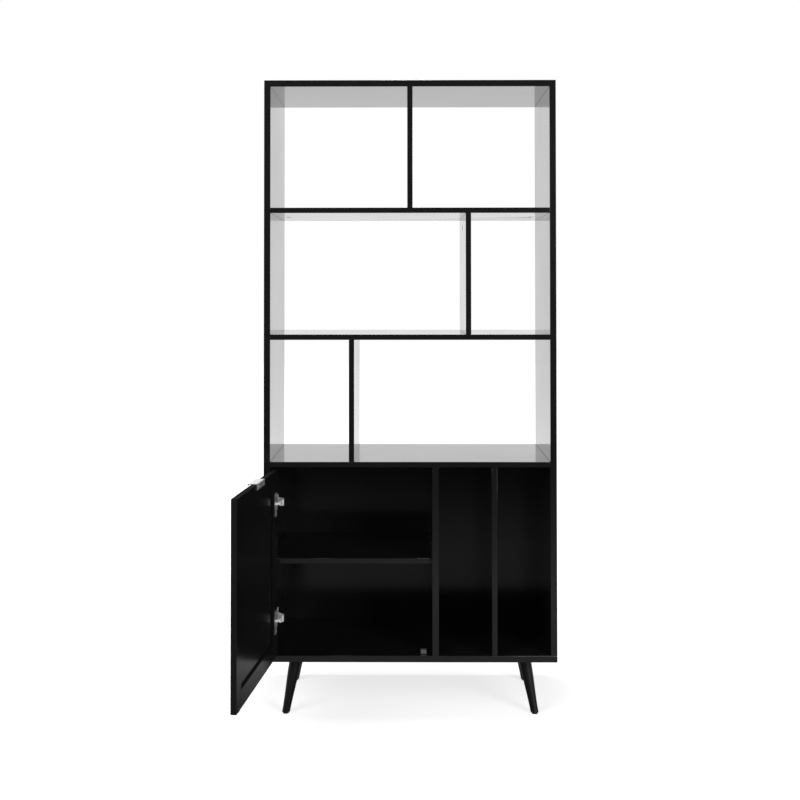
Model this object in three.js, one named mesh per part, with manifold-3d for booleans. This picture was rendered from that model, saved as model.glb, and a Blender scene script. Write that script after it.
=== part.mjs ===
// A tall black bookcase on four splayed legs: three open bays with staggered dividers over a cabinet
// that has one inset framed door on concealed hinges and two open upright slots.
// Millimetres, +Z up. x runs to the right and y to the back; the front edges lie at y = 0 and the floor
// at z = 0 until the last lines move the origin to the bottom centre of the whole piece.
import * as THREE from 'three';
import { mergeVertices } from 'three/addons/utils/BufferGeometryUtils.js';
import Module from 'manifold-3d';

const wasm = await Module();
wasm.setup();

// Carcass sizes
const width = 820;
const depth = 370;
const outerBoard = 18; // top, bottom, sides and the cabinet's divider
const innerBoard = 15; // shelves, deck and the thin dividers
const bayHeight = 341; // clear height of each open bay
const cabinetHeight = 524; // clear height of the cabinet
const legHeight = 158; // floor to the underside of the bottom panel
const dividerShift = 164; // the middle divider stands right of the centre by this, the lower one left
const doorOpening = 454;
const backThickness = 3;
const backInset = 5; // the back panel lies this far in front of the rear edges
const shelfClearBelow = 251; // under the loose shelf in the cabinet
const shelfSetback = 20; // from the front edges to the loose shelf
const shelfSideGap = 2;
const seam = 0.3; // joint line between two pieces that meet

// Door sizes
const doorThickness = 15;
const doorSideGap = 2;
const doorBottomGap = 2.5;
const doorTopGap = 6;
const frameWidth = 45;
const panelThickness = 4;
const grooveDepth = 4.5;
const grooveClearance = 0.3;
const upperHingeInset = 93; // from the door's top edge to the upper hinge's centre
const lowerHingeInset = 98.5; // and from its bottom edge to the lower one's
const openAngle = 96; // how far the door stands open at rest, in degrees
const hingeAxisInset = 3.6; // turning axis, inside the side panel's inner face
const hingeAxisForward = 3.25; // and in front of the front edges

// Drilling and turning
const overrun = 1; // how far a cutter passes the face that it opens
const roundSides = 40;
const smallSides = 20;
const weld = 1e-4; // vertices nearer to each other than this are one

const board = new THREE.MeshStandardMaterial({ color: 0x131315, roughness: 0.28, metalness: 0 });
const doorBoard = new THREE.MeshStandardMaterial({ color: 0x151517, roughness: 0.3, metalness: 0 });
const backBoard = new THREE.MeshStandardMaterial({ color: 0x111113, roughness: 0.4, metalness: 0 });
const legWood = new THREE.MeshStandardMaterial({ color: 0x171719, roughness: 0.35, metalness: 0 });
const steel = new THREE.MeshStandardMaterial({ color: 0xb4b6b9, roughness: 0.3, metalness: 1 });
const zinc = new THREE.MeshStandardMaterial({ color: 0x9a9c9f, roughness: 0.42, metalness: 1 });
const aluminium = new THREE.MeshStandardMaterial({ color: 0xd2d4d6, roughness: 0.22, metalness: 1 });
const plastic = new THREE.MeshStandardMaterial({ color: 0x9b9b98, roughness: 0.5, metalness: 0 });
const glidePlastic = new THREE.MeshStandardMaterial({ color: 0x1d1d1d, roughness: 0.6, metalness: 0 });

// Levels of the carcass, from the floor up
const cabinetFloor = legHeight + outerBoard;
const deckLevel = cabinetFloor + cabinetHeight;
const lowBayFloor = deckLevel + innerBoard;
const lowerShelfLevel = lowBayFloor + bayHeight;
const middleBayFloor = lowerShelfLevel + innerBoard;
const upperShelfLevel = middleBayFloor + bayHeight;
const topBayFloor = upperShelfLevel + innerBoard;
const topLevel = topBayFloor + bayHeight;
const innerRight = width / 2 - outerBoard;
const innerLeft = -innerRight;
const backFace = depth - backInset - backThickness;
const cabinetDividerLeft = innerLeft + doorOpening;
const cabinetDividerRight = cabinetDividerLeft + outerBoard;
const shelfLevel = cabinetFloor + shelfClearBelow;

// A closed mesh as a solid for joining and cutting, and a solid as a geometry again.
function solidOf(geometry) {
  const bare = geometry.clone();
  bare.deleteAttribute('normal');
  bare.deleteAttribute('uv');
  const merged = mergeVertices(bare, weld);
  const mesh = new wasm.Mesh({
    numProp: 3,
    vertProperties: merged.attributes.position.array,
    triVerts: new Uint32Array(merged.index.array),
  });
  return new wasm.Manifold(mesh);
}

function geometryOf(solid) {
  const mesh = solid.getMesh();
  const geometry = new THREE.BufferGeometry();
  geometry.setAttribute('position', new THREE.BufferAttribute(mesh.vertProperties, 3));
  geometry.setIndex(new THREE.BufferAttribute(mesh.triVerts, 1));
  const faceted = geometry.toNonIndexed();
  faceted.computeVertexNormals();
  return faceted;
}

// The first geometry with the others joined to it, then with the cutters taken away.
function carve(joined, cutters = []) {
  let solid = solidOf(joined[0]);
  for (const extra of joined.slice(1)) solid = solid.add(solidOf(extra));
  for (const cutter of cutters) solid = solid.subtract(solidOf(cutter));
  return geometryOf(solid);
}

function box([x0, x1], [y0, y1], [z0, z1]) {
  const shape = new THREE.BoxGeometry(x1 - x0, y1 - y0, z1 - z0);
  return shape.translate((x0 + x1) / 2, (y0 + y1) / 2, (z0 + z1) / 2);
}

// Turns a shape built along +Y so that it runs from one point towards another.
function aim(shape, from, to) {
  const direction = to.clone().sub(from).normalize();
  const turn = new THREE.Quaternion().setFromUnitVectors(new THREE.Vector3(0, 1, 0), direction);
  return shape.applyQuaternion(turn).translate(from.x, from.y, from.z);
}

function rod(radius, from, to, sides = smallSides) {
  const length = to.distanceTo(from);
  return aim(new THREE.CylinderGeometry(radius, radius, length, sides).translate(0, length / 2, 0), from, to);
}

const at = (x, y, z) => new THREE.Vector3(x, y, z);
const between = (low, high) => [low + seam, high - seam];
const around = (centre, size) => [centre - size / 2, centre + size / 2];

function piece(group, name, geometry, material) {
  const mesh = new THREE.Mesh(geometry, material);
  mesh.name = name;
  group.add(mesh);
  return mesh;
}

const bookcase = new THREE.Group();
const carcass = new THREE.Group();
bookcase.add(carcass);

// Cam fasteners: a round cam in a blind bore pulls a shelf or a divider to its neighbour
const camRadius = 7.5;
const camDepth = 12;
const camSetback = 32; // from the joint to the centre of the cam
const camRecess = 0.5; // the face of the cam lies this far below the board's face
const camBoreDepth = camDepth + camRecess + seam;

function camBore(face, inward) {
  const start = face.clone().addScaledVector(inward, -overrun);
  return rod(camRadius + seam, start, face.clone().addScaledVector(inward, camBoreDepth), roundSides);
}

function addCam(name, face, inward) {
  const near = face.clone().addScaledVector(inward, camRecess);
  const far = near.clone().addScaledVector(inward, camDepth);
  piece(carcass, name, rod(camRadius, near, far, roundSides), zinc);
}

// Loose shelf pins
const pinRadius = 2.5;
const pinBore = pinRadius + seam;
const pinInsert = 8;
const pinStub = 8;
const pinCollarRadius = 4;
const pinCollar = 1.2;
const pinBoreDepth = pinInsert + seam;
const pinSetback = 55; // from the loose shelf's front and rear edges
const pinLevel = shelfLevel - seam - pinRadius;
const pinRows = [
  ['front', shelfSetback + pinSetback],
  ['rear', backFace - pinSetback],
];

function pinHole(wall, inward, y) {
  return rod(pinBore, at(wall - inward * overrun, y, pinLevel), at(wall + inward * pinBoreDepth, y, pinLevel));
}

// Outer boards: the sides stand between the top and the bottom panel
const fullDepth = [0, depth];
piece(carcass, 'top_panel', box([-width / 2, width / 2], fullDepth, [topLevel, topLevel + outerBoard]), board);
piece(carcass, 'bottom_panel', box([-width / 2, width / 2], fullDepth, [legHeight, cabinetFloor]), board);
piece(
  carcass,
  'left_side_panel',
  carve(
    [box([-width / 2, innerLeft], fullDepth, between(cabinetFloor, topLevel))],
    pinRows.map(([, y]) => pinHole(innerLeft, -1, y)),
  ),
  board,
);
piece(
  carcass,
  'right_side_panel',
  box([innerRight, width / 2], fullDepth, between(cabinetFloor, topLevel)),
  board,
);

// Shelves and deck, each held by a cam near both ends of its underside
const spanX = between(innerLeft, innerRight);
const camY = depth / 2;
for (const [name, level] of [['upper_shelf', upperShelfLevel], ['lower_shelf', lowerShelfLevel]]) {
  const ends = [['left', spanX[0] + camSetback], ['right', spanX[1] - camSetback]];
  const up = at(0, 0, 1);
  const bores = ends.map(([, x]) => camBore(at(x, camY, level), up));
  piece(carcass, name, carve([box(spanX, fullDepth, [level, level + innerBoard])], bores), board);
  for (const [end, x] of ends) addCam(`${name}_cam_${end}`, at(x, camY, level), up);
}
piece(carcass, 'cabinet_deck', box(spanX, fullDepth, [deckLevel, lowBayFloor]), board);

// Bay dividers; the middle one shows the cam that holds it to the upper shelf
piece(
  carcass,
  'top_bay_divider',
  box(around(0, innerBoard), fullDepth, between(topBayFloor, topLevel)),
  board,
);
const middleDividerFace = at(dividerShift - innerBoard / 2, camY, upperShelfLevel - seam - camSetback);
piece(
  carcass,
  'middle_bay_divider',
  carve(
    [box(around(dividerShift, innerBoard), fullDepth, between(middleBayFloor, upperShelfLevel))],
    [camBore(middleDividerFace, at(1, 0, 0))],
  ),
  board,
);
addCam('middle_bay_divider_cam', middleDividerFace, at(1, 0, 0));
piece(
  carcass,
  'lower_bay_divider',
  box(around(-dividerShift, innerBoard), fullDepth, between(lowBayFloor, lowerShelfLevel)),
  board,
);

// Cabinet: thin back, thick divider beside the door, thin divider between the two equal slots
const cabinetDepth = [0, backFace - seam];
const cabinetSpan = between(cabinetFloor, deckLevel);
const slotWidth = (innerRight - cabinetDividerRight - innerBoard) / 2;
const slotDividerLeft = cabinetDividerRight + slotWidth;
piece(carcass, 'cabinet_back', box(spanX, [backFace, backFace + backThickness], cabinetSpan), backBoard);
piece(
  carcass,
  'cabinet_divider',
  carve(
    [box([cabinetDividerLeft, cabinetDividerRight], cabinetDepth, cabinetSpan)],
    pinRows.map(([, y]) => pinHole(cabinetDividerLeft, 1, y)),
  ),
  board,
);
piece(
  carcass,
  'slot_divider',
  box([slotDividerLeft, slotDividerLeft + innerBoard], cabinetDepth, cabinetSpan),
  board,
);
piece(
  carcass,
  'cabinet_shelf',
  box(
    [innerLeft + shelfSideGap, cabinetDividerLeft - shelfSideGap],
    [shelfSetback, backFace - shelfSideGap],
    [shelfLevel, shelfLevel + innerBoard],
  ),
  board,
);

// A pin turned as one profile: peg in the bore, collar against the wall, stub under the shelf.
function shelfPin() {
  const profile = [
    [0, 0],
    [pinRadius, 0],
    [pinRadius, pinInsert],
    [pinCollarRadius, pinInsert],
    [pinCollarRadius, pinInsert + pinCollar],
    [pinRadius, pinInsert + pinCollar],
    [pinRadius, pinInsert + pinCollar + pinStub],
    [0, pinInsert + pinCollar + pinStub],
  ];
  return new THREE.LatheGeometry(profile.map(([r, s]) => new THREE.Vector2(r, s)), smallSides);
}
for (const [row, y] of pinRows) {
  const leftStart = at(innerLeft - pinInsert + seam, y, pinLevel);
  const rightStart = at(cabinetDividerLeft + pinInsert - seam, y, pinLevel);
  piece(carcass, `shelf_pin_left_${row}`, aim(shelfPin(), leftStart, at(0, y, pinLevel)), steel);
  const farLeft = at(innerLeft, y, pinLevel);
  piece(carcass, `shelf_pin_right_${row}`, aim(shelfPin(), rightStart, farLeft), steel);
}

// Legs: turned and tapered, leaning outwards to the corner, screwed to an angled plate under the bottom panel
const footInsetSide = 58;
const footInsetFront = 48;
const legSpread = 28; // how much further in the leg's top stands, both ways
const legTopRadius = 17.5;
const legFootRadius = 11;
const glideRadius = 8.5;
const glideHeight = 4;
const plateSize = 62;
const plateThickness = 2.5;
const padRadius = 15;
const padRelief = 0.8; // between the plate and the highest point of the leg's end
const studRadius = 4;
const studInLeg = 24;

const legLean = Math.atan((legSpread * Math.SQRT2) / legHeight);
const legAxisLength = legHeight / Math.cos(legLean);
const padDrop = (plateThickness + padRelief) / Math.cos(legLean) + legTopRadius * Math.tan(legLean);
const legEnd = legAxisLength - padDrop; // along the leg's axis, from the floor

function addLeg(corner, sideSign, footY, topY) {
  const foot = at(sideSign * (width / 2 - footInsetSide), footY, 0);
  const top = at(sideSign * (width / 2 - footInsetSide - legSpread), topY, legHeight);
  const along = (distance) => foot.clone().lerp(top, distance / legAxisLength);

  const taper = (legTopRadius - legFootRadius) / legAxisLength;
  const turned = new THREE.LatheGeometry(
    [
      [0, 0],
      [legFootRadius, 0],
      [legFootRadius + taper * legEnd, legEnd],
      [0, legEnd],
    ].map(([r, s]) => new THREE.Vector2(r, s)),
    roundSides,
  );
  const cutSpan = around(0, 4 * legTopRadius);
  const floorCut = box(cutSpan, cutSpan, [-legTopRadius, glideHeight + seam]).translate(foot.x, foot.y, 0);
  const studBore = rod(studRadius + seam, along(legEnd - studInLeg - seam), along(legEnd + overrun));
  piece(carcass, `leg_${corner}`, carve([aim(turned, foot, top)], [floorCut, studBore]), legWood);

  const plate = box(around(top.x, plateSize), around(top.y, plateSize), [
    legHeight - seam - plateThickness,
    legHeight - seam,
  ]);
  const pad = rod(padRadius, along(legEnd + seam), along(legAxisLength), roundSides);
  const panelCut = box(around(top.x, 2 * plateSize), around(top.y, 2 * plateSize), [
    legHeight - seam,
    legHeight + padRadius,
  ]);
  const stud = [along(legEnd - studInLeg), along(legAxisLength - plateThickness)];
  const threadBore = rod(studRadius + seam, stud[0], along(legAxisLength + overrun));
  piece(carcass, `leg_plate_${corner}`, carve([plate, pad], [panelCut, threadBore]), zinc);
  piece(carcass, `leg_stud_${corner}`, rod(studRadius, stud[0], stud[1]), steel);

  const glideCentre = along((glideHeight / 2 / legHeight) * legAxisLength);
  const glide = rod(glideRadius, at(glideCentre.x, glideCentre.y, 0), at(glideCentre.x, glideCentre.y, glideHeight));
  piece(carcass, `foot_glide_${corner}`, glide, glidePlastic);
}

for (const [side, sign] of [['left', -1], ['right', 1]]) {
  addLeg(`front_${side}`, sign, footInsetFront, footInsetFront + legSpread);
  addLeg(`rear_${side}`, sign, depth - footInsetFront, depth - footInsetFront - legSpread);
}

// Magnetic catch on the cabinet floor, near the door's free edge
const catchWidth = 17;
const catchDepth = 14;
const catchHeight = 11;
const catchFromDivider = 16;
const strikeThickness = 1.2;
const strikeHeight = 12;
const strikeMargin = 1; // wider than the catch on each side
const catchGap = 0.4;
const catchX = [cabinetDividerLeft - catchFromDivider - catchWidth, cabinetDividerLeft - catchFromDivider];
const catchFront = doorThickness + seam + strikeThickness + catchGap;
piece(
  carcass,
  'magnetic_catch',
  box(catchX, [catchFront, catchFront + catchDepth], [cabinetFloor + seam, cabinetFloor + catchHeight]),
  plastic,
);

// Door: built closed in the carcass's frame, then the group turns it open about the hinge axis
const doorLeft = innerLeft + doorSideGap;
const doorRight = cabinetDividerLeft - doorSideGap;
const doorBottom = cabinetFloor + doorBottomGap;
const doorTop = deckLevel - doorTopGap;
const axisX = innerLeft + hingeAxisInset;
const axisY = -hingeAxisForward;

const hung = new THREE.Group();
hung.position.set(axisX, axisY, 0);
hung.rotation.z = THREE.MathUtils.degToRad(-openAngle);
carcass.add(hung);
const door = new THREE.Group();
door.position.set(-axisX, -axisY, 0);
hung.add(door);

const doorFaces = [0, doorThickness];
const grooveY = around(doorThickness / 2, panelThickness + 2 * grooveClearance);
const tenonY = around(doorThickness / 2, panelThickness);
const stileInner = [doorLeft + frameWidth, doorRight - frameWidth];
const railInner = [doorBottom + frameWidth, doorTop - frameWidth];
const grooveX = [stileInner[0] - grooveDepth, stileInner[1] + grooveDepth];
const grooveZ = [railInner[0] - grooveDepth, railInner[1] + grooveDepth];
const panelX = [grooveX[0] + grooveClearance, grooveX[1] - grooveClearance];
const panelZ = [grooveZ[0] + grooveClearance, grooveZ[1] - grooveClearance];
const hingeLevels = [['upper', doorTop - upperHingeInset], ['lower', doorBottom + lowerHingeInset]];

// Concealed hinge sizes, in plan from the side panel's inner face (u) and the front edges (v)
const cupRadius = 17.2;
const cupDepth = 11.5;
const cupWall = 1;
const cupEdge = 5.3; // from the door's hinge edge to the rim of the cup
const flangeThickness = 1.2;
const flangeHeight = 64;
const flangeWidth = 20;
const flangeShift = 3; // the flange's bar lies this much further from the door's edge than the cup's centre
const flangeRim = 2;
const armHalf = 9;
const linkHalf = 5.5;
const tongueHalf = 3;
const linkPin = { u: 34.5, v: 8 };
const linkPinRadius = 1.2;
const linkRadius = 2.4;
const linkLength = 18.8;
const linkOpenAngle = 257.2; // direction of the link in plan while the door stands open
const tongueTip = { u: 8.4, v: 23.6 };
const tongueBend = { u: 11.6, v: 15.4 };
const tongueFoot = { u: 17.4, v: 7.3 };
const tongueRadius = 2.3;
const armRise = 7; // from the side panel to the arm's edges
const armHeight = 13.5; // from the side panel to the arm's outer face
const armWall = 1.7;
const armFront = 40;
const armBack = 88;
const armCrank = [{ u: 26.5, v: 18.5 }, { u: 37.4, v: 17 }];
const noseRadius = 2.8;
const forkDepth = 13;
const plateFoot = 2;
const plateWing = { v: 14, h: 52 };
const plateScrewLine = 52; // from the front edges to the plate's two screws
const plateBodyGap = 1; // from the arm's walls at the front and from its rear edge

const cupCentreX = doorLeft + cupEdge + cupRadius;
const cupBoreRadius = cupRadius + seam;

// Prisms drawn in plan and raised over a span of height, with round ends where a radius is given.
function planPrism(points, [z0, z1]) {
  const shape = new THREE.Shape(points.map(({ u, v }) => new THREE.Vector2(innerLeft + u, v)));
  return new THREE.ExtrudeGeometry(shape, { depth: z1 - z0, bevelEnabled: false }).translate(0, 0, z0);
}

function planPost({ u, v }, radius, [z0, z1]) {
  return rod(radius, at(innerLeft + u, v, z0), at(innerLeft + u, v, z1));
}

function planBar(from, to, radius, span) {
  const length = Math.hypot(to.u - from.u, to.v - from.v);
  const side = { u: (-(to.v - from.v) * radius) / length, v: ((to.u - from.u) * radius) / length };
  const corner = (end, sign) => ({ u: end.u + sign * side.u, v: end.v + sign * side.v });
  const strip = planPrism([corner(from, -1), corner(to, -1), corner(to, 1), corner(from, 1)], span);
  return [strip, planPost(from, radius, span), planPost(to, radius, span)];
}

const cupHole = (level) =>
  rod(
    cupBoreRadius,
    at(cupCentreX, doorThickness - cupDepth - seam, level),
    at(cupCentreX, doorThickness + overrun, level),
    roundSides,
  );
const stileGroove = (inner, outer) =>
  box([Math.min(inner, outer), Math.max(inner, outer)], grooveY, [doorBottom - overrun, doorTop + overrun]);
piece(
  door,
  'door_hinge_stile',
  carve(
    [box([doorLeft, stileInner[0]], doorFaces, [doorBottom, doorTop])],
    [stileGroove(grooveX[0], stileInner[0] + overrun), ...hingeLevels.map(([, level]) => cupHole(level))],
  ),
  doorBoard,
);
piece(
  door,
  'door_free_stile',
  carve(
    [box([stileInner[1], doorRight], doorFaces, [doorBottom, doorTop])],
    [stileGroove(stileInner[1] - overrun, grooveX[1])],
  ),
  doorBoard,
);

// Edge pull: a folded strip over the door's top edge, held by two screws inside
const pullLength = 80;
const pullShift = 19; // from the middle of the door towards its hinges
const pullThickness = 1.8;
const pullOverhang = 10;
const pullLip = 4;
const pullFlange = 14.5;
const screwSpacing = 50;
const screwDrop = 8;
const screwRadius = 1.5;
const screwLength = 11;
const screwHeadRadius = 3.2;
const screwHeadThickness = 1.4;
const pullCentre = (doorLeft + doorRight) / 2 - pullShift;
const pullInner = doorThickness + seam;
const screwPlaces = around(pullCentre, screwSpacing);
const screwHole = (x) =>
  rod(
    screwRadius + seam,
    at(x, pullInner - screwLength - seam, doorTop - screwDrop),
    at(x, pullInner + pullThickness + overrun, doorTop - screwDrop),
  );

// A rail with its groove for the panel and a stub tenon at each end.
function rail(name, [low, high], grooveSpan, tenonSpan, cutters) {
  const body = box(between(stileInner[0], stileInner[1]), doorFaces, [low, high]);
  const tenon = box(panelX, tenonY, tenonSpan);
  const groove = box([stileInner[0], stileInner[1]], grooveY, grooveSpan);
  piece(door, name, carve([body, tenon], [groove, ...cutters]), doorBoard);
}
rail('door_bottom_rail', [doorBottom, railInner[0]], [grooveZ[0], railInner[0] + overrun], [doorBottom, grooveZ[0]], []);
rail(
  'door_top_rail',
  [railInner[1], doorTop],
  [railInner[1] - overrun, grooveZ[1]],
  [grooveZ[1], doorTop],
  screwPlaces.map(screwHole),
);
piece(door, 'door_panel', box(panelX, tenonY, panelZ), doorBoard);

function pullProfile() {
  const top = doorTop + seam;
  const outline = [
    [pullInner, doorTop - pullFlange],
    [pullInner + pullThickness, doorTop - pullFlange],
    [pullInner + pullThickness, top + pullThickness],
    [-pullOverhang, top + pullThickness],
    [-pullOverhang, top - pullLip],
    [-pullOverhang + pullThickness, top - pullLip],
    [-pullOverhang + pullThickness, top],
    [pullInner, top],
  ];
  const shape = new THREE.Shape(outline.map(([y, z]) => new THREE.Vector2(y, z)));
  const strip = new THREE.ExtrudeGeometry(shape, { depth: pullLength, bevelEnabled: false });
  // the profile's own axes become y and z, and its length runs along x
  const turn = new THREE.Matrix4().makeBasis(at(0, 1, 0), at(0, 0, 1), at(1, 0, 0));
  return strip.applyMatrix4(turn).translate(pullCentre - pullLength / 2, 0, 0);
}
piece(door, 'door_pull', carve([pullProfile()], screwPlaces.map(screwHole)), aluminium);
screwPlaces.forEach((x, i) => {
  const level = doorTop - screwDrop;
  const seat = pullInner + pullThickness + seam;
  const shank = rod(screwRadius, at(x, pullInner - screwLength, level), at(x, seat, level));
  const head = rod(screwHeadRadius, at(x, seat, level), at(x, seat + screwHeadThickness, level));
  piece(door, `pull_screw_${i + 1}`, carve([shank, head]), steel);
});

piece(
  door,
  'catch_strike_plate',
  box(
    [catchX[0] - strikeMargin, catchX[1] + strikeMargin],
    [doorThickness + seam, doorThickness + seam + strikeThickness],
    [doorBottom + strikeMargin, doorBottom + strikeMargin + strikeHeight],
  ),
  steel,
);

// Hinges: the cup and its tongue go with the door, the plate and the arm with the side panel, and the
// link turns on the arm's pin. At the angle of rest the link's end lies at the tongue's tip.
const linkTurn = THREE.MathUtils.degToRad(linkOpenAngle);
const linkTip = {
  u: linkPin.u + linkLength * Math.cos(linkTurn),
  v: linkPin.v + linkLength * Math.sin(linkTurn),
};

function addHinge(name, level) {
  const span = (half) => [level - half, level + half];
  const flangeFace = doorThickness + seam;
  const rimFace = flangeFace + flangeThickness;
  const flangeX = around(cupCentreX + flangeShift, flangeWidth);
  const floorY = doorThickness - cupDepth;
  const ring = (radius, y0, y1) => rod(radius, at(cupCentreX, y0, level), at(cupCentreX, y1, level), roundSides);
  const cup = carve(
    [
      ring(cupRadius, floorY, rimFace),
      ring(cupRadius + flangeRim, flangeFace, rimFace),
      box(flangeX, [flangeFace, rimFace], around(level, flangeHeight)),
    ],
    [ring(cupRadius - cupWall, floorY + cupWall, rimFace + overrun)],
  );
  piece(door, `${name}_hinge_cup`, cup, steel);
  const tongue = [
    ...planBar(tongueFoot, tongueBend, tongueRadius, span(tongueHalf)),
    ...planBar(tongueBend, tongueTip, tongueRadius, span(tongueHalf)),
  ];
  piece(door, `${name}_hinge_tongue`, carve(tongue), steel);

  // two cheeks that pass the tongue on both sides, joined by a barrel round the arm's pin
  const slotHalf = tongueHalf + seam;
  const barrel = planPost(linkPin, linkRadius, span(linkHalf));
  const passage = planPrism(
    [
      { u: linkPin.u - linkLength, v: linkPin.v - 2 * linkLength },
      { u: linkPin.u + linkLength, v: linkPin.v - 2 * linkLength },
      { u: linkPin.u + linkLength, v: linkPin.v },
      { u: linkPin.u - linkLength, v: linkPin.v },
    ],
    span(slotHalf),
  );
  const cheeks = carve(planBar(linkPin, linkTip, linkRadius, span(linkHalf)), [passage]);
  const link = carve([cheeks, barrel], [
    planPost(linkPin, linkPinRadius + seam, span(linkHalf + overrun)),
    planPost(linkTip, linkPinRadius, span(linkHalf + overrun)),
  ]);
  piece(carcass, `${name}_hinge_link`, link, steel);

  const profile = [
    { u: armRise, v: armBack },
    { u: armRise, v: armFront },
    armCrank[0],
    { u: linkPin.u - noseRadius, v: linkPin.v },
    { u: linkPin.u + noseRadius, v: linkPin.v },
    armCrank[1],
    { u: armHeight, v: armFront + armRise },
    { u: armHeight, v: armBack },
  ];
  const channel = planPrism(
    [
      { u: 0, v: armFront + armRise / 2 },
      { u: armHeight - armWall, v: armFront + armRise },
      { u: armHeight - armWall, v: armBack + overrun },
      { u: 0, v: armBack + overrun },
    ],
    span(armHalf - armWall),
  );
  const fork = box(
    [innerLeft + armCrank[0].u - linkLength, innerLeft + armCrank[1].u + linkLength],
    [-linkLength, forkDepth],
    span(linkHalf + seam),
  );
  const arm = carve(
    [
      carve([planPrism(profile, span(armHalf)), planPost(linkPin, noseRadius, span(armHalf))], [channel, fork]),
      planPost(linkPin, linkPinRadius, span(armHalf)),
    ],
  );
  piece(carcass, `${name}_hinge_arm`, arm, steel);

  const bodyHalf = armHalf - armWall - seam;
  const plateBody = [armFront + armRise + plateBodyGap, armBack - plateBodyGap];
  const plate = carve([
    box(
      [innerLeft + seam, innerLeft + seam + plateFoot],
      around(plateScrewLine, plateWing.v),
      around(level, plateWing.h),
    ),
    box([innerLeft + seam, innerLeft + armHeight - armWall - seam], plateBody, span(bodyHalf)),
  ]);
  piece(carcass, `${name}_hinge_plate`, plate, zinc);
}
for (const [name, level] of hingeLevels) addHinge(name, level);

// The origin moves to the bottom centre of the whole piece with its door standing open.
bookcase.updateMatrixWorld(true);
const bounds = new THREE.Box3().setFromObject(bookcase, true);
const centre = bounds.getCenter(new THREE.Vector3());
carcass.position.set(-centre.x, -centre.y, -bounds.min.z);

export default bookcase;
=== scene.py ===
# A tall black bookcase on four splayed legs, its cabinet door standing open. Metres, +Z up.
import math
import bmesh
import bpy
from mathutils import Matrix, Vector


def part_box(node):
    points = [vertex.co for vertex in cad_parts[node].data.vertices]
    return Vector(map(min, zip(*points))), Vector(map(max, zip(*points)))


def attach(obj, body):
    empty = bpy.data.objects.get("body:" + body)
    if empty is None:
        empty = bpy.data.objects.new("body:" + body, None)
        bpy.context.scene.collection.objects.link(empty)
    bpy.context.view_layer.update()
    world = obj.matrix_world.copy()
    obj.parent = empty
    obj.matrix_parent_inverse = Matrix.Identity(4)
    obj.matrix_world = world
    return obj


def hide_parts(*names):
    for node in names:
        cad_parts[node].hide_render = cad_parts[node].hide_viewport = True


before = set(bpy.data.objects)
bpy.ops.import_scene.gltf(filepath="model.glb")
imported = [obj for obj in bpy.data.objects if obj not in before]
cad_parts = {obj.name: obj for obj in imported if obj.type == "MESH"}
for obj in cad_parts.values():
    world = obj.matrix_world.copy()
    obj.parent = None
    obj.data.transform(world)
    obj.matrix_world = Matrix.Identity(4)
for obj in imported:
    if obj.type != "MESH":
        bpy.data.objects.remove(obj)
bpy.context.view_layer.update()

# The camera stands 3.2 m in front of the bookcase at chest height, almost level, and looks straight
# at it. Its lens is moved down a little, as a view camera's is, so the uprights stay parallel.
camera_place = (0.00347, -3.14483, 1.19836)
camera_lens = 51.13  # mm, on a film 36 mm wide
camera_film = 36
camera_shift = (0.0, -0.1633)
camera_pitch = 0.01734  # radians, upwards
camera_yaw = 0.00642  # radians, to the left
camera_roll = 0.00056
camera = bpy.data.objects.new("camera", bpy.data.cameras.new("camera"))
camera.data.sensor_width = camera_film
camera.data.lens = camera_lens
camera.data.shift_x, camera.data.shift_y = camera_shift
camera.location = camera_place
camera.rotation_euler = (math.pi / 2 + camera_pitch, camera_roll, camera_yaw)
bpy.context.scene.collection.objects.link(camera)
bpy.context.scene.camera = camera
bpy.context.scene.view_settings.view_transform = "Standard"


# The surroundings are a plain white studio: white behind and above the bookcase, and a dim room
# behind the camera, which the black gloss of the front edges and of the cabinet's inside shows.
room_white = 1.0
room_dim = 0.04
room_fill = 0.14  # the even light that the room itself adds
room_turn = (-0.35, 0.15)  # where the dim part ends and the white begins, by the direction's y
pure_white = (1, 1, 1, 1)


def new_nodes(owner):
    """The empty node tree of a material or a world."""
    owner.use_nodes = True
    owner.node_tree.nodes.clear()
    return owner.node_tree


def add_node(tree, kind, *feeds, properties=None, **inputs):
    """A new node. Its inputs, by place or by name, get a constant or the output that feeds them."""
    node = tree.nodes.new(kind)
    node.location = (220 * len(tree.nodes), 0)
    for key, value in (properties or {}).items():
        setattr(node, key, value)
    named = [(node.inputs[key.replace("_", " ")], value) for key, value in inputs.items()]
    for socket, value in list(zip(node.inputs, feeds)) + named:
        if isinstance(value, bpy.types.NodeSocket):
            tree.links.new(value, socket)
        elif value is not None:
            socket.default_value = value
    return node


def math_node(tree, operation, *feeds):
    """The result of one sum, product or other operation on the feeds."""
    return add_node(tree, "ShaderNodeMath", *feeds, properties={"operation": operation}).outputs[0]


world = bpy.data.worlds.new("studio")
bpy.context.scene.world = world
tree = new_nodes(world)
direction = add_node(tree, "ShaderNodeTexCoord").outputs["Generated"]
depth_part = add_node(tree, "ShaderNodeSeparateXYZ", direction).outputs["Y"]
room = add_node(
    tree, "ShaderNodeMapRange", depth_part, *room_turn, room_dim, room_white,
    properties={"interpolation_type": "SMOOTHSTEP"},
).outputs[0]
ray = add_node(tree, "ShaderNodeLightPath").outputs
mirrored = add_node(tree, "ShaderNodeMix", ray["Is Glossy Ray"], None, room_fill, room).outputs[0]
level = math_node(tree, "MAXIMUM", ray["Is Camera Ray"], mirrored)
white = add_node(tree, "ShaderNodeBackground", Color=pure_white, Strength=level)
add_node(tree, "ShaderNodeOutputWorld", Surface=white.outputs[0])


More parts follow.
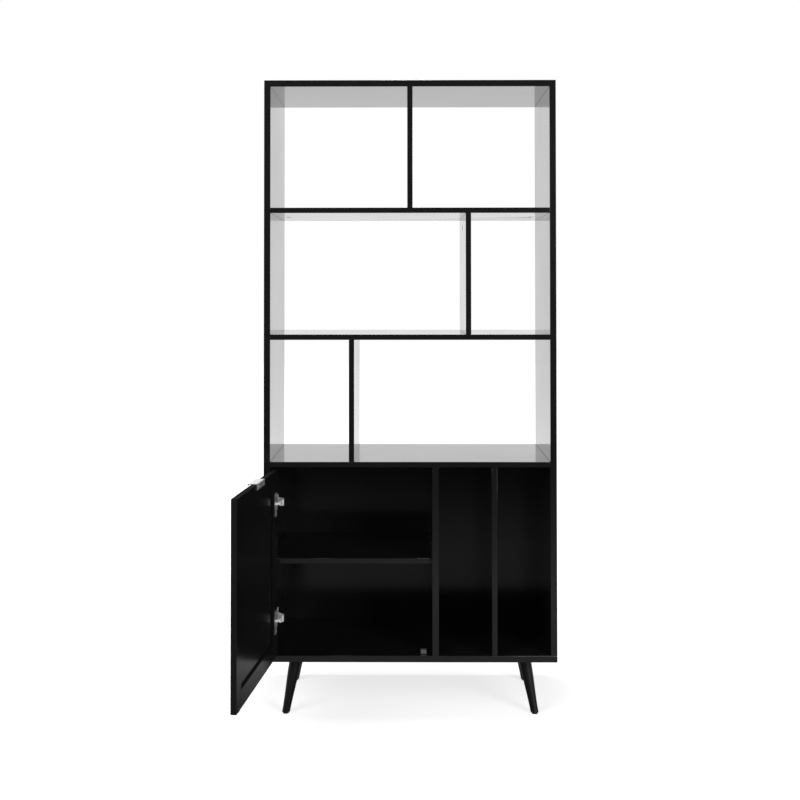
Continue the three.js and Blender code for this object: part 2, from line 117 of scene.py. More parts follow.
# A plain pale floor. The lamps light it and the bookcase shades it; the rest of its white is its
# own colour in the picture and in reflections. It whitens away from the bookcase. In reflections
# a painted shade dims it towards the room behind the camera and at the bookcase's feet.
floor_half = 15.0
floor_colour = 0.20  # for the light that it throws back
floor_own_white = (0.74, 1.04)  # beside the bookcase and far from it
floor_white_reach = (0.7, 1.8)
floor_shaded_white = 0.49
floor_painted_shade_reach = 4.0  # the fade runs over this distance before and behind the bookcase
# Painted shade on the floor as reflections show it: darkest towards the camera, with a dip at the
# feet.
floor_painted_shade = (
    (0.0, 0.01), (0.06, 0.015), (0.24, 0.09), (0.34, 0.17), (0.45, 0.18), (0.485, 0.03),
    (0.515, 0.085), (0.55, 0.28), (0.8, 0.9),
)  # the place along the whole fade and the white there
floor_corners = [
    (-floor_half, -floor_half, 0), (floor_half, -floor_half, 0),
    (floor_half, floor_half, 0), (-floor_half, floor_half, 0),
]
floor_mesh = bpy.data.meshes.new("floor")
floor_mesh.from_pydata(floor_corners, [], [(0, 1, 2, 3)])
floor = bpy.data.objects.new("floor", floor_mesh)
bpy.context.scene.collection.objects.link(floor)
floor_paper = bpy.data.materials.new("floor_paper")
tree = new_nodes(floor_paper)
place = add_node(tree, "ShaderNodeTexCoord").outputs["Object"]
depth_part = add_node(tree, "ShaderNodeSeparateXYZ", place).outputs["Y"]
along = add_node(tree, "ShaderNodeMapRange", depth_part, -floor_painted_shade_reach, floor_painted_shade_reach)
painted_shade_ramp = add_node(tree, "ShaderNodeValToRGB", along.outputs[0])
for share, shade in floor_painted_shade:
    painted_shade_ramp.color_ramp.elements.new(share).color = (shade, shade, shade, 1)
for spare in (painted_shade_ramp.color_ramp.elements[-1], painted_shade_ramp.color_ramp.elements[0]):
    painted_shade_ramp.color_ramp.elements.remove(spare)
ray = add_node(tree, "ShaderNodeLightPath").outputs
# Reflections see the floor's glow with the painted shade laid over it.
mirrored = math_node(tree, "MULTIPLY", ray["Is Glossy Ray"], painted_shade_ramp.outputs["Color"])
shown = math_node(tree, "MAXIMUM", ray["Is Camera Ray"], mirrored)
seen_ray = math_node(tree, "MAXIMUM", ray["Is Camera Ray"], ray["Is Glossy Ray"])
away = add_node(tree, "ShaderNodeVectorMath", place, properties={"operation": "LENGTH"})
nearness = add_node(
    tree, "ShaderNodeMapRange", away.outputs["Value"], *floor_white_reach, *floor_own_white,
)
own_white = math_node(tree, "MULTIPLY", shown, nearness.outputs[0])
shaded_white = math_node(tree, "MULTIPLY", shown, floor_shaded_white)
unseen_ray = math_node(tree, "SUBTRACT", 1.0, seen_ray)
other_white = math_node(tree, "MULTIPLY", unseen_ray, floor_colour)
paper_white = math_node(tree, "ADD", shaded_white, other_white)
paper = add_node(tree, "ShaderNodeBsdfDiffuse", Color=paper_white)
glow = add_node(tree, "ShaderNodeEmission", Strength=own_white)
both = add_node(tree, "ShaderNodeAddShader", glow.outputs[0], paper.outputs[0])
add_node(tree, "ShaderNodeOutputMaterial", Surface=both.outputs[0])
floor.data.materials.append(floor_paper)


# Three soft lamps: one far overhead, which lays the shadow under the bookcase, a wide one high in
# front and to the left, and a weaker one low on the right, which reaches the hinges.
def soft_lamp(name, place, target, size, watts):
    """A round lamp that looks from its place at the target."""
    lamp = bpy.data.lights.new(name, "AREA")
    lamp.shape = "DISK"
    lamp.size = size
    lamp.energy = watts
    holder = bpy.data.objects.new(name, lamp)
    holder.location = place
    view = Vector(target) - Vector(place)
    holder.rotation_euler = view.to_track_quat("-Z", "Y").to_euler()
    bpy.context.scene.collection.objects.link(holder)


soft_lamp("lamp_overhead", place=(0, 0.4, 8.0), target=(0, 0.22, 0), size=1.0, watts=380)
soft_lamp("lamp_high_left", place=(-2.6, -2.9, 2.9), target=(0, 0.2, 0.8), size=2.8, watts=108)
soft_lamp("lamp_low_right", place=(2.2, -2.8, 1.7), target=(-0.1, 0, 0.7), size=1.6, watts=82)


# The boards are particle board faced with satin black foil. Sides, top, bottom and the divider
# beside the door are 18 mm thick; the shelves, the deck and the other dividers are 15 mm. The
# edges carry a thin glued band with a hairline joint.
band_thickness = 0.0009
band_groove = 0.00012
edge_round = 0.0005
foil_black = (0.0078, 0.0078, 0.0083)
foil_roughness = 0.15
weld_distance = 1e-6
flat_angle = math.radians(0.5)


def corners(node):
    """The lowest and the highest corner of a CAD node's box."""
    return [Vector(corner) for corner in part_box(node)]


def merged_copy(node, name):
    """A copy of a CAD node's mesh with its vertices merged and its flat faces whole."""
    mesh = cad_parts[node].data.copy()
    mesh.name = name
    mesh.materials.clear()
    bm = bmesh.new()
    bm.from_mesh(mesh)
    bmesh.ops.remove_doubles(bm, verts=bm.verts, dist=weld_distance)
    bmesh.ops.dissolve_limit(bm, angle_limit=flat_angle, verts=bm.verts, edges=bm.edges)
    return mesh, bm


def finish_piece(name, mesh, material, body, slot, *nodes):
    """Puts the mesh into the scene and says which body it rides on and which nodes it replaces."""
    piece = bpy.data.objects.new(name, mesh)
    bpy.context.scene.collection.objects.link(piece)
    mesh.materials.clear()
    mesh.materials.append(material)
    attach(piece, body)
    if nodes:
        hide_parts(*nodes)
    return piece


def round_edges(bm, width, segments=2, least_angle=30):
    """Rounds every edge sharper than the angle. Only the roundings are shaded smooth."""
    limit = math.radians(least_angle)
    sharp = [e for e in bm.edges if len(e.link_faces) == 2 and e.calc_face_angle(0) > limit]
    made = bmesh.ops.bevel(
        bm, geom=sharp, offset=width, segments=segments, affect="EDGES", profile=0.5,
        clamp_overlap=True,
    )
    for face in made["faces"]:
        face.smooth = True


def turned_place(tree, turn):
    """Object coordinates, turned about the upright axis, as a pattern on a turned piece needs."""
    place = add_node(tree, "ShaderNodeTexCoord").outputs["Object"]
    if not turn:
        return place
    return add_node(tree, "ShaderNodeMapping", place, Rotation=(0, 0, turn)).outputs[0]


def noise(tree, place, scale, **look):
    """A cloudy pattern between 0 and 1, the finer the larger the scale is."""
    return add_node(tree, "ShaderNodeTexNoise", Vector=place, Scale=scale, **look).outputs["Fac"]


def uneven(tree, pattern, least, most):
    """A value that follows the pattern's middle part from the least to the most."""
    return add_node(tree, "ShaderNodeMapRange", pattern, 0.3, 0.7, least, most).outputs[0]


def tinted(tree, pattern, colour, reach, shares):
    """The colour, in a darker and a lighter share where the pattern is low and high."""
    shade = add_node(tree, "ShaderNodeValToRGB", pattern)
    for stop, position, share in zip(shade.color_ramp.elements, reach, shares):
        stop.position = position
        stop.color = [c * share for c in colour] + [1]
    return shade.outputs["Color"]


def black_finish(
    name, colour, roughness, grain_axis, coat=0.35, specular=0.5, grain_depth=1e-5, turn=0.0,
):
    """Black foil or lacquer: a fine grain along one axis, a soft mottle in the gloss, some peel."""
    material = bpy.data.materials.new(name)
    tree = new_nodes(material)
    place = turned_place(tree, turn)
    drawn_out = [1.0 if axis == grain_axis else 22.0 for axis in "XYZ"]
    stretch = add_node(tree, "ShaderNodeMapping", place, Scale=drawn_out).outputs[0]
    grain = noise(tree, stretch, 26.0, Detail=6.0, Roughness=0.62, Distortion=0.25)
    peel = noise(tree, place, 420.0, Detail=2.0)
    cloud = noise(tree, place, 4.2, Detail=3.0, Roughness=0.55)
    gloss = uneven(tree, cloud, 0.82 * roughness, 1.18 * roughness)
    streak = add_node(tree, "ShaderNodeMapRange", grain, 0.35, 0.75, -0.03, 0.04).outputs[0]
    rough = math_node(tree, "ADD", gloss, streak)
    height = add_node(tree, "ShaderNodeMix", Factor=0.35, A=grain, B=peel).outputs[0]
    bump = add_node(tree, "ShaderNodeBump", Strength=0.35, Distance=grain_depth, Height=height)
    skin = add_node(
        tree, "ShaderNodeBsdfPrincipled",
        Base_Color=tinted(tree, grain, colour, (0.3, 0.72), (0.72, 1.28)),
        Roughness=rough, Normal=bump.outputs[0], IOR=1.5, Specular_IOR_Level=specular,
        Coat_Weight=coat, Coat_Roughness=0.12, Coat_IOR=1.5,
    )
    add_node(tree, "ShaderNodeOutputMaterial", Surface=skin.outputs[0])
    return material


foil_along = {
    axis: black_finish(f"black_foil_{axis.lower()}", foil_black, foil_roughness, axis)
    for axis in "XZ"
}


def banded_board(node, grain_axis, banded=(True, True)):
    """A board from its CAD node, with the band's hairline round its front and its rear edges."""
    mesh, bm = merged_copy(node, f"{node}_board")
    low, high = corners(node)
    centre = (low + high) / 2
    round_edges(bm, edge_round)
    for has_band, joint in zip(banded, (low.y + band_thickness, high.y - band_thickness)):
        if not has_band:
            continue
        for shift in (-band_groove, 0.0, band_groove):
            cut = bmesh.ops.bisect_plane(
                bm, geom=bm.verts[:] + bm.edges[:] + bm.faces[:], dist=1e-7,
                plane_co=(0, joint + shift, 0), plane_no=(0, 1, 0),
            )
            if shift:
                continue
            for v in [item for item in cut["geom_cut"] if isinstance(item, bmesh.types.BMVert)]:
                for axis in (0, 2):
                    v.co[axis] -= math.copysign(band_groove, v.co[axis] - centre[axis])
    bm.to_mesh(mesh)
    bm.free()
    finish_piece(
        f"{node}_board", mesh, foil_along[grain_axis], "carcass", "black_board", node,
    )


for board in ("left_side_panel", "right_side_panel"):
    banded_board(board, "Z")
for board in ("top_panel", "bottom_panel", "upper_shelf", "lower_shelf", "cabinet_deck"):
    banded_board(board, "X")
for board in ("top_bay_divider", "middle_bay_divider", "lower_bay_divider"):
    banded_board(board, "Z")
for board in ("cabinet_divider", "slot_divider"):
    banded_board(board, "Z", (True, False))
banded_board("cabinet_shelf", "X", (True, False))


# The cabinet's back is one sheet of 3 mm hardboard, painted black. It stands 5 mm in from the rear
# edges, fits tightly between the boards and is nailed to the rear edges of the upright dividers.
back_fit = 0.00028  # the sheet fills the joint line round it
back_round = 0.0003
back_black = (0.0080, 0.0080, 0.0086)
back_material = bpy.data.materials.new("painted_hardboard")
tree = new_nodes(back_material)
place = add_node(tree, "ShaderNodeTexCoord").outputs["Object"]
cloud = noise(tree, place, 9.0, Detail=5.0, Roughness=0.6)
fibre = noise(tree, place, 240.0, Detail=4.0, Distortion=1.5)
bump = add_node(tree, "ShaderNodeBump", Strength=0.5, Distance=0.00001, Height=fibre)
skin = add_node(
    tree, "ShaderNodeBsdfPrincipled",
    Base_Color=tinted(tree, cloud, back_black, (0.3, 0.7), (0.8, 1.2)),
    Roughness=uneven(tree, fibre, 0.13, 0.2), Normal=bump.outputs[0], IOR=1.48,
)
add_node(tree, "ShaderNodeOutputMaterial", Surface=skin.outputs[0])
mesh, bm = merged_copy("cabinet_back", "cabinet_back_sheet")
back_low, back_high = corners("cabinet_back")
back_middle = (back_low + back_high) / 2
for v in bm.verts:
    for axis in (0, 2):
        v.co[axis] += math.copysign(back_fit, v.co[axis] - back_middle[axis])
    if v.co.y < back_middle.y:
        v.co.y -= back_fit
round_edges(bm, back_round)
bm.to_mesh(mesh)
bm.free()
finish_piece("cabinet_back_sheet", mesh, back_material, "carcass", "black_back", "cabinet_back")


# Nails, screws and cams are turned parts: a round head, square or domed in profile, most with a
# cross recess. One tree makes them all: each stands on a point and looks along the point's axis.
head_sides = 32
head_steps = 10
head_sweep = math.radians(78)
crease = math.radians(40)
cut_away = {"operation": "DIFFERENCE", "solver": "MANIFOLD"}
socket_kinds = {bool: "NodeSocketBool", int: "NodeSocketInt", float: "NodeSocketFloat"}


def new_shape_tree(name, sizes):
    """An empty tree for shapes that stand on points, with its named inputs and their defaults."""
    tree = bpy.data.node_groups.new(name, "GeometryNodeTree")
    tree.is_modifier = True
    sockets = tree.interface
    sockets.new_socket("Points", in_out="INPUT", socket_type="NodeSocketGeometry")
    for key, value in sizes.items():
        socket = sockets.new_socket(key, in_out="INPUT", socket_type=socket_kinds[type(value)])
        socket.default_value = value
    sockets.new_socket("Material", in_out="INPUT", socket_type="NodeSocketMaterial")
    sockets.new_socket("Shape", in_out="OUTPUT", socket_type="NodeSocketGeometry")
    return tree, add_node(tree, "NodeGroupInput").outputs


def turned_solid(tree, height, radius, sides, steps):
    """A closed turned solid: height and radius are fields over the steps from foot to top."""
    line = add_node(tree, "GeometryNodeCurvePrimitiveLine").outputs[0]
    steps_line = add_node(tree, "GeometryNodeResampleCurve", Curve=line, Count=steps).outputs[0]
    spot = add_node(tree, "ShaderNodeCombineXYZ", Z=height).outputs[0]
    axis_line = add_node(
        tree, "GeometryNodeSetPosition", Geometry=steps_line, Position=spot,
    ).outputs[0]
    circle = add_node(tree, "GeometryNodeCurvePrimitiveCircle", Resolution=sides, Radius=1.0)
    return add_node(
        tree, "GeometryNodeCurveToMesh", Curve=axis_line, Profile_Curve=circle.outputs[0],
        Scale=radius, Fill_Caps=True,
    ).outputs[0]


def stand_on_points(tree, inputs, solid, turned=None):
    """Puts the solid on every point, looking along the point's axis and turned about it."""
    axis = add_node(
        tree, "GeometryNodeInputNamedAttribute", Name="axis",
        properties={"data_type": "FLOAT_VECTOR"},
    ).outputs[0]
    aimed = add_node(
        tree, "FunctionNodeAlignRotationToVector", Vector=axis, properties={"axis": "Z"},
    ).outputs[0]
    if turned:
        about = add_node(tree, "FunctionNodeAxisAngleToRotation", Axis=(0, 0, 1), Angle=turned)
        aimed = add_node(
            tree, "FunctionNodeRotateRotation", Rotation=aimed, Rotate_By=about.outputs[0],
            properties={"rotation_space": "LOCAL"},
        ).outputs[0]
    placed = add_node(
        tree, "GeometryNodeInstanceOnPoints", Points=inputs["Points"], Instance=solid,
        Rotation=aimed,
    ).outputs[0]
    return add_node(tree, "GeometryNodeRealizeInstances", Geometry=placed).outputs[0]


def close_shape_tree(tree, inputs, solid):
    """Smooth faces, sharp creases and the material, and the result goes out."""
    smooth = add_node(
        tree, "GeometryNodeSetShadeSmooth", Geometry=solid, properties={"domain": "FACE"},
    ).outputs[0]
    angle = add_node(tree, "GeometryNodeInputMeshEdgeAngle").outputs[0]
    sharp = add_node(
        tree, "GeometryNodeSetShadeSmooth", Geometry=smooth, Shade_Smooth=False,
        Selection=math_node(tree, "GREATER_THAN", angle, crease), properties={"domain": "EDGE"},
    ).outputs[0]
    dressed = add_node(
        tree, "GeometryNodeSetMaterial", Geometry=sharp, Material=inputs["Material"],
    ).outputs[0]
    add_node(tree, "NodeGroupOutput", dressed)


def grow(name, tree, places, **sizes):
    """A plain mesh of the tree's shapes, one at each place: a point and the shape's own axis."""
    points = bpy.data.meshes.new(f"{name}_points")
    points.from_pydata([point for point, axis in places], [], [])
    axes = points.attributes.new("axis", "FLOAT_VECTOR", "POINT")
    for item, (point, axis) in zip(axes.data, places):
        item.vector = axis
    holder = bpy.data.objects.new(f"{name}_points", points)
    bpy.context.scene.collection.objects.link(holder)
    modifier = holder.modifiers.new("shape", "NODES")
    modifier.node_group = tree
    for key, value in sizes.items():
        modifier[tree.interface.items_tree[key.replace("_", " ")].identifier] = value
    graph = bpy.context.evaluated_depsgraph_get()
    mesh = bpy.data.meshes.new_from_object(holder.evaluated_get(graph))
    mesh.name = name
    holder.modifiers.remove(modifier)
    bpy.data.objects.remove(holder)
    bpy.data.meshes.remove(points)
    return mesh


heads, given = new_shape_tree("turned_heads", {
    "Head Radius": 0.0035, "Head Height": 0.002, "Squareness": 3.0, "Cross Recess": True,
    "Recess Length": 0.0042, "Recess Width": 0.0009, "Recess Depth": 0.0012, "Turn Seed": 5,
})
along = add_node(heads, "GeometryNodeSplineParameter").outputs["Factor"]
swept = math_node(heads, "MULTIPLY", along, head_sweep)
power = math_node(heads, "DIVIDE", 2.0, given["Squareness"])
rise = math_node(heads, "POWER", math_node(heads, "SINE", swept), power)
reach = math_node(heads, "POWER", math_node(heads, "COSINE", swept), power)
head_height = math_node(heads, "MULTIPLY", rise, given["Head Height"])
head_radius = math_node(heads, "MULTIPLY", reach, given["Head Radius"])
head = turned_solid(heads, head_height, head_radius, head_sides, head_steps)
recess_height = math_node(heads, "MULTIPLY", given["Recess Depth"], 2.0)
top_spot = add_node(heads, "ShaderNodeCombineXYZ", Z=given["Head Height"]).outputs[0]
recessed = add_node(heads, "GeometryNodeMeshBoolean", head, properties=cut_away)
for x_size, y_size in (("Recess Width", "Recess Length"), ("Recess Length", "Recess Width")):
    bar_size = add_node(
        heads, "ShaderNodeCombineXYZ", given[x_size], given[y_size], recess_height,
    ).outputs[0]
    bar = add_node(heads, "GeometryNodeMeshCube", Size=bar_size).outputs[0]
    bar = add_node(heads, "GeometryNodeTransform", Geometry=bar, Translation=top_spot).outputs[0]
    heads.links.new(bar, recessed.inputs[1])
chosen = add_node(
    heads, "GeometryNodeSwitch", given["Cross Recess"], head, recessed.outputs[0],
    properties={"input_type": "GEOMETRY"},
)
turn = add_node(
    heads, "FunctionNodeRandomValue", None, None, 0.0, math.pi, Seed=given["Turn Seed"],
    properties={"data_type": "FLOAT"},
)
standing = stand_on_points(heads, given, chosen.outputs[0], turn.outputs[1])
close_shape_tree(heads, given, standing)


# The back's nails: flat heads of blackened steel, driven through the hardboard into the rear edges
# of the two upright dividers, one row in each.
nail_head = 0.0022
nail_proud = 0.0007
nails_each = 6
nail_margin = 0.03


def metal(
    name, colour, roughness, grain=(1, 1, 1), grain_scale=900.0, grain_depth=1.5e-5, turn=0.0,
    metallic=1.0,
):
    """Plated or brushed metal: a fine grain, drawn out along one axis where brushed, and clouds."""
    material = bpy.data.materials.new(name)
    tree = new_nodes(material)
    place = turned_place(tree, turn)
    stretch = add_node(tree, "ShaderNodeMapping", place, Scale=grain).outputs[0]
    fine = noise(tree, stretch, grain_scale, Detail=5.0)
    cloud = noise(tree, place, 55.0, Detail=3.0)
    mixed = add_node(tree, "ShaderNodeMix", Factor=0.4, A=fine, B=cloud).outputs[0]
    bump = add_node(tree, "ShaderNodeBump", Strength=0.4, Distance=grain_depth, Height=fine)
    skin = add_node(
        tree, "ShaderNodeBsdfPrincipled",
        Base_Color=tinted(tree, mixed, colour, (0.32, 0.68), (0.88, 1.1)), Metallic=metallic,
        Roughness=uneven(tree, mixed, 0.85 * roughness, 1.15 * roughness), Normal=bump.outputs[0],
    )
    add_node(tree, "ShaderNodeOutputMaterial", Surface=skin.outputs[0])
    return material


blackened_steel = metal("blackened_steel", (0.05, 0.05, 0.052), 0.5)
nail_places = []
for divider in ("cabinet_divider", "slot_divider"):
    low, high = corners(divider)
    spacing = (high.z - low.z - 2 * nail_margin) / (nails_each - 1)
    for i in range(nails_each):
        spot = ((low.x + high.x) / 2, back_high.y, low.z + nail_margin + i * spacing)
        nail_places.append((spot, (0, 1, 0)))
nails = grow(
    "back_nails", heads, nail_places, Head_Radius=nail_head, Head_Height=nail_proud,
    Squareness=2.6, Cross_Recess=False, Material=blackened_steel,
)
finish_piece("back_nails", nails, blackened_steel, "carcass", "zinc")


# Cam fasteners join the shelves and the middle divider: a round cam of dark die-cast zinc sits in
# a blind bore half a millimetre below the face and is turned tight with a cross-head driver.
cam_axes = {
    f"{shelf}_cam_{end}": (0, 0, -1)
    for shelf in ("upper_shelf", "lower_shelf") for end in ("left", "right")
}
cam_axes["middle_bay_divider_cam"] = (-1, 0, 0)
cast_zinc = metal(
    "cast_zinc", (0.09, 0.09, 0.093), 0.85, grain_scale=1500.0, grain_depth=3e-5, metallic=0.5,
)
cam_places = []
for node, axis in cam_axes.items():
    low, high = corners(node)
    cam_radius = max(high - low) / 2
    cam_depth = min(high - low)
    cam_places.append(((low + high) / 2 - Vector(axis) * cam_depth / 2, axis))
cams = grow(
    "cam_fasteners", heads, cam_places, Head_Radius=cam_radius, Head_Height=cam_depth,
    Squareness=36.0, Recess_Length=0.0088, Recess_Width=0.0017, Recess_Depth=0.0045,
    Turn_Seed=11, Material=cast_zinc,
)
finish_piece("cam_fasteners", cams, cast_zinc, "carcass", "zinc", *cam_axes)


# The loose shelf rests on four nickel-plated pins, each with a collar against the board and its
# peg in a drilled hole.
pin_round = 0.00035
shading_break = math.radians(50)
nickel = metal("nickel_steel", (0.62, 0.61, 0.59), 0.34, grain_scale=1200.0)


def even_shading(piece):
    """Shades roundings smoothly and keeps big faces flat, as normals weighted by area do."""
    for face in piece.data.polygons:
        face.use_smooth = True
    piece.data.set_sharp_from_angle(angle=shading_break)
    weighted = piece.modifiers.new("shading", "WEIGHTED_NORMAL")
    weighted.keep_sharp = True
    graph = bpy.context.evaluated_depsgraph_get()
    mesh = bpy.data.meshes.new_from_object(piece.evaluated_get(graph))
    piece.modifiers.remove(weighted)
    mesh.name = piece.name
    piece.data = mesh


def rounded_copy(
    node, ending, material, body, slot, width, segments=2, least_angle=35, reshape=None,
):
    """A CAD node's copy with its edges rounded; reshape may move its vertices first."""
    mesh, bm = merged_copy(node, f"{node}_{ending}")
    if reshape:
        reshape(bm)
    round_edges(bm, width, segments, least_angle)
    bmesh.ops.recalc_face_normals(bm, faces=bm.faces)
    bm.to_mesh(mesh)
    bm.free()
    piece = finish_piece(f"{node}_{ending}", mesh, material, body, slot, node)
    even_shading(piece)
    return piece


for side in ("left", "right"):
    for row in ("front", "rear"):
        pin = f"shelf_pin_{side}_{row}"
        rounded_copy(pin, "turned", nickel, "carcass", "nickel_steel", pin_round)


# Four turned legs of lacquered beech, tapered towards the foot. Each leans outwards to its corner;
# its top is square to its own axis with a rounded edge, and its foot is cut level.
leg_length = 0.1551  # along the leg's axis
leg_axis_length = 0.1629  # from the floor to the underside of the bottom panel
leg_top_radius = 0.0175
leg_foot_radius = 0.011
leg_top_round = 0.0022
leg_foot_round = 0.0007
leg_foot_level = 0.0043  # the height of the level cut above the floor
leg_spread = 0.028  # how far the foot stands out, both ways
leg_sides = 56
leg_steps = 60
leg_black = (0.0023, 0.0022, 0.0021)
leg_finish = black_finish(
    "black_leg_lacquer", leg_black, 0.34, "Z", coat=0.0, specular=0.6, grain_depth=4e-5,
)
legs, given = new_shape_tree("turned_legs", {
    "Length": leg_length, "Axis Length": leg_axis_length, "Top Radius": leg_top_radius,
    "Foot Radius": leg_foot_radius, "Top Rounding": leg_top_round, "Foot Level": leg_foot_level,
})
share = add_node(legs, "GeometryNodeSplineParameter").outputs["Factor"]
swing = math_node(legs, "COSINE", math_node(legs, "MULTIPLY", share, math.pi))
eased = math_node(legs, "MULTIPLY", math_node(legs, "SUBTRACT", 1.0, swing), 0.5)
along = math_node(legs, "MULTIPLY", eased, given["Length"])
widening = math_node(legs, "SUBTRACT", given["Top Radius"], given["Foot Radius"])
taper = math_node(legs, "DIVIDE", widening, given["Axis Length"])
straight = math_node(legs, "MULTIPLY_ADD", along, taper, given["Foot Radius"])
to_top = math_node(legs, "SUBTRACT", given["Length"], along)
past = math_node(legs, "SUBTRACT", 1.0, math_node(legs, "DIVIDE", to_top, given["Top Rounding"]))
past = math_node(legs, "MINIMUM", math_node(legs, "MAXIMUM", past, 0.0), 1.0)
squared = math_node(legs, "MULTIPLY", past, past)
arc = math_node(legs, "SQRT", math_node(legs, "SUBTRACT", 1.0, squared))
drop = math_node(legs, "MULTIPLY", math_node(legs, "SUBTRACT", 1.0, arc), given["Top Rounding"])
leg_radius = math_node(legs, "SUBTRACT", straight, drop)
leg = turned_solid(legs, along, leg_radius, leg_sides, leg_steps)
standing = stand_on_points(legs, given, leg)
below_size = (2, 2, 1)  # a block that reaches up to the level cut
below_middle = math_node(legs, "SUBTRACT", given["Foot Level"], below_size[2] / 2)
below_spot = add_node(legs, "ShaderNodeCombineXYZ", Z=below_middle).outputs[0]
below = add_node(legs, "GeometryNodeMeshCube", Size=below_size).outputs[0]
below = add_node(legs, "GeometryNodeTransform", Geometry=below, Translation=below_spot).outputs[0]
levelled = add_node(legs, "GeometryNodeMeshBoolean", standing, below, properties=cut_away)
close_shape_tree(legs, given, levelled.outputs[0])
legs_at = {}
bottom_z = corners("bottom_panel")[0].z
for end, lean_y in (("front", leg_spread), ("rear", -leg_spread)):
    for side, lean_x in (("left", leg_spread), ("right", -leg_spread)):
        low, high = corners(f"leg_plate_{end}_{side}")
        top = Vector((*((low + high) / 2).xy, bottom_z))
        foot = Vector((top.x - lean_x, top.y - lean_y, 0))
        legs_at[f"{end}_{side}"] = (foot, (top - foot).normalized())
for corner, place in legs_at.items():
    mesh = grow(f"leg_{corner}_turned", legs, [place], Material=leg_finish)
    bm = bmesh.new()
    bm.from_mesh(mesh)
    bmesh.ops.remove_doubles(bm, verts=bm.verts, dist=weld_distance)
    round_edges(bm, leg_foot_round, least_angle=50)
    bm.to_mesh(mesh)
    bm.free()
    piece = finish_piece(
        f"leg_{corner}_turned", mesh, leg_finish, "carcass", "black_leg", f"leg_{corner}",
    )
    even_shading(piece)


# Each leg screws by its stud into an angled plate of pressed, zinc-plated steel, which four
# countersunk screws hold under the bottom panel. A black plastic glide is nailed into the foot.
leg_plate_round = 0.0006
leg_plate_thickness = 0.0025
plate_screw_reach = 0.024  # from the middle of the plate to its screws, both ways
glide_round = 0.0008
zinc_plate = metal("zinc_plate", (0.46, 0.46, 0.47), 0.42, grain_scale=1500.0, grain_depth=2e-5)
plate_screw_places = []
for corner in legs_at:
    plate = f"leg_plate_{corner}"
    rounded_copy(plate, "pressed", zinc_plate, "carcass", "zinc", leg_plate_round)
    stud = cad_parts[f"leg_stud_{corner}"].data
    stud.materials.clear()
    stud.materials.append(zinc_plate)
    low, high = corners(plate)
    middle = (low + high) / 2
    for x in (-plate_screw_reach, plate_screw_reach):
        for y in (-plate_screw_reach, plate_screw_reach):
            spot = (middle.x + x, middle.y + y, high.z - leg_plate_thickness)
            plate_screw_places.append((spot, (0, 0, -1)))
plate_screws = grow(
    "leg_plate_screws", heads, plate_screw_places, Head_Radius=0.0039, Head_Height=0.0015,
    Squareness=2.4, Recess_Length=0.0044, Turn_Seed=3, Material=zinc_plate,
)
finish_piece("leg_plate_screws", plate_screws, zinc_plate, "carcass", "zinc")


def moulded(name, colour, roughness, pit_scale, pit_depth):
    """Moulded plastic: fine pitting from the mould, faint clouds in the colour and the gloss."""
    material = bpy.data.materials.new(name)
    tree = new_nodes(material)
    place = add_node(tree, "ShaderNodeTexCoord").outputs["Object"]
    pits = add_node(tree, "ShaderNodeTexVoronoi", Vector=place, Scale=pit_scale)
    cloud = noise(tree, place, 70.0, Detail=4.0)
    bump = add_node(
        tree, "ShaderNodeBump", Strength=0.4, Distance=pit_depth, Height=pits.outputs["Distance"],
    )
    skin = add_node(
        tree, "ShaderNodeBsdfPrincipled",
        Base_Color=tinted(tree, cloud, colour, (0.3, 0.7), (0.9, 1.1)),
        Roughness=uneven(tree, cloud, 0.88 * roughness, 1.12 * roughness),
        Normal=bump.outputs[0], IOR=1.46,
    )
    add_node(tree, "ShaderNodeOutputMaterial", Surface=skin.outputs[0])
    return material


glide_plastic = moulded("black_plastic", (0.02, 0.02, 0.02), 0.5, pit_scale=1400.0, pit_depth=3e-5)
for corner in legs_at:
    rounded_copy(
        f"foot_glide_{corner}", "moulded", glide_plastic, "carcass", "black_plastic", glide_round,
        segments=3,
    )


# The door is a lacquered frame: two upright stiles, two rails between them, and a thin panel let
# into their grooves. It hangs open by 96 degrees, so the grain's axes turn with it.
open_turn = math.radians(96)
door_axis = Vector((-0.3773808, 0.0373006, 0))
closed_axis = Vector((-0.3884, -0.00325, 0))  # from the middle of the carcass and its front edges
door_hang = (
    Matrix.Translation(door_axis) @ Matrix.Rotation(-open_turn, 4, "Z")
    @ Matrix.Translation(-closed_axis)
)  # from the closed door, measured as the closed axis is, to the open one
door_inwards = door_hang.to_3x3() @ Vector((0, 1, 0))
door_black = (0.0065, 0.0065, 0.0068)
door_round = 0.0008
door_panel_round = 0.0004
door_gloss = dict(coat=0.0, specular=0.34, grain_depth=8e-6, turn=open_turn)
stile_lacquer = black_finish("door_lacquer_upright", door_black, 0.2, "Z", **door_gloss)
rail_lacquer = black_finish("door_lacquer_level", door_black, 0.2, "X", **door_gloss)
dull_look = dict(coat=0.0, specular=0.08, grain_depth=3e-5, turn=open_turn)
dull_edges = [
    black_finish("door_upright_edge", (0.0085, 0.0085, 0.0090), 0.8, "Z", **dull_look),
    # The level edges' darker colour is a painted shade on the door's top and bottom edges.
    black_finish("painted_shade_level_edge", (0.0022, 0.0022, 0.0024), 0.9, "X", **dull_look),
]


def lacquered(node, finish, width):
    """A piece of the door: glossy faces, and dull narrow edges, where the lacquer soaks in."""
    piece = rounded_copy(node, "lacquered", finish, "door", "black_door", width)
    for dull in dull_edges:
        piece.data.materials.append(dull)
    for face in piece.data.polygons:
        if abs(face.normal.dot(door_inwards)) < 0.5:
            # Upright edges take the first dull finish; level ones take the darker one, a painted
            # shade.
            face.material_index = 2 if abs(face.normal.z) > 0.5 else 1


for part in ("door_hinge_stile", "door_free_stile"):
    lacquered(part, stile_lacquer, door_round)
for part in ("door_bottom_rail", "door_top_rail"):
    lacquered(part, rail_lacquer, door_round)
lacquered("door_panel", stile_lacquer, door_panel_round)


